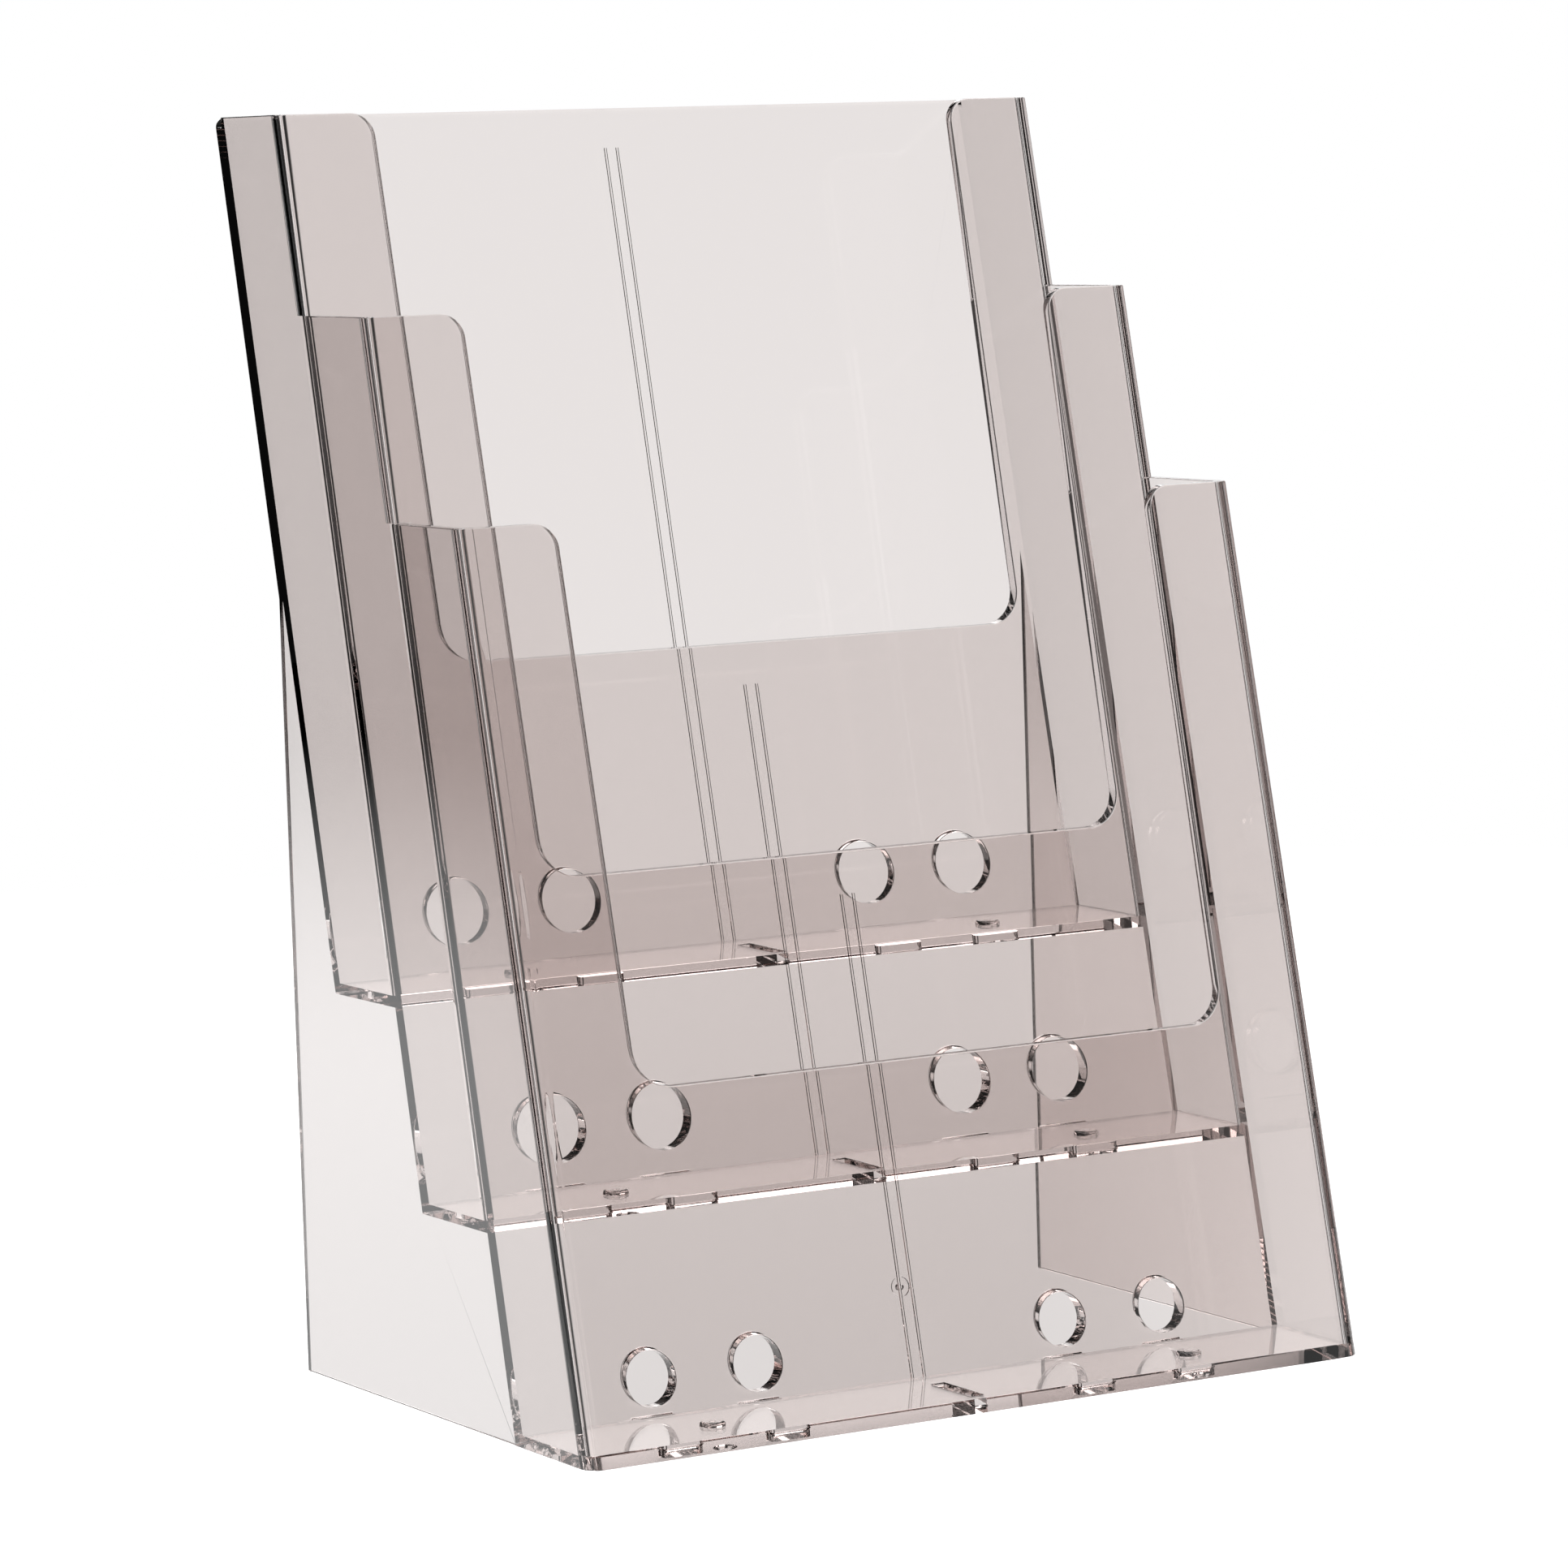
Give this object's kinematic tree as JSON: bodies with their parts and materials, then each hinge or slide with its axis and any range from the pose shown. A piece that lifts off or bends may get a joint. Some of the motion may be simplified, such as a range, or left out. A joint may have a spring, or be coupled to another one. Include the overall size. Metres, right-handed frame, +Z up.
{
  "type": "brochure rack",
  "caption": "Clear counter-top brochure rack with stepped, backward-leaning pockets, low cut-out fronts between tall ears, and open rear supports.",
  "frame": {"origin": "on the table under the middle of the rack's bounding box", "axes": "+Z up, +X to the right of a reader facing the rack, +Y from its front to its rear"},
  "size_m": [0.236, 0.1888, 0.3386],
  "materials": {
    "clear_plastic": "polished clear moulded polystyrene"
  },
  "bodies": {
    "root": {"rear_panel": "clear_plastic", "upper_divider_panel": "clear_plastic", "lower_divider_panel": "clear_plastic", "front_panel": "clear_plastic", "front_pocket_floor": "clear_plastic", "front_left_wall": "clear_plastic", "front_right_wall": "clear_plastic", "middle_pocket_floor": "clear_plastic", "middle_left_wall": "clear_plastic", "middle_right_wall": "clear_plastic", "rear_pocket_floor": "clear_plastic", "rear_left_wall": "clear_plastic", "rear_right_wall": "clear_plastic", "left_rear_support": "clear_plastic", "right_rear_support": "clear_plastic"}
  },
  "joints": []
}
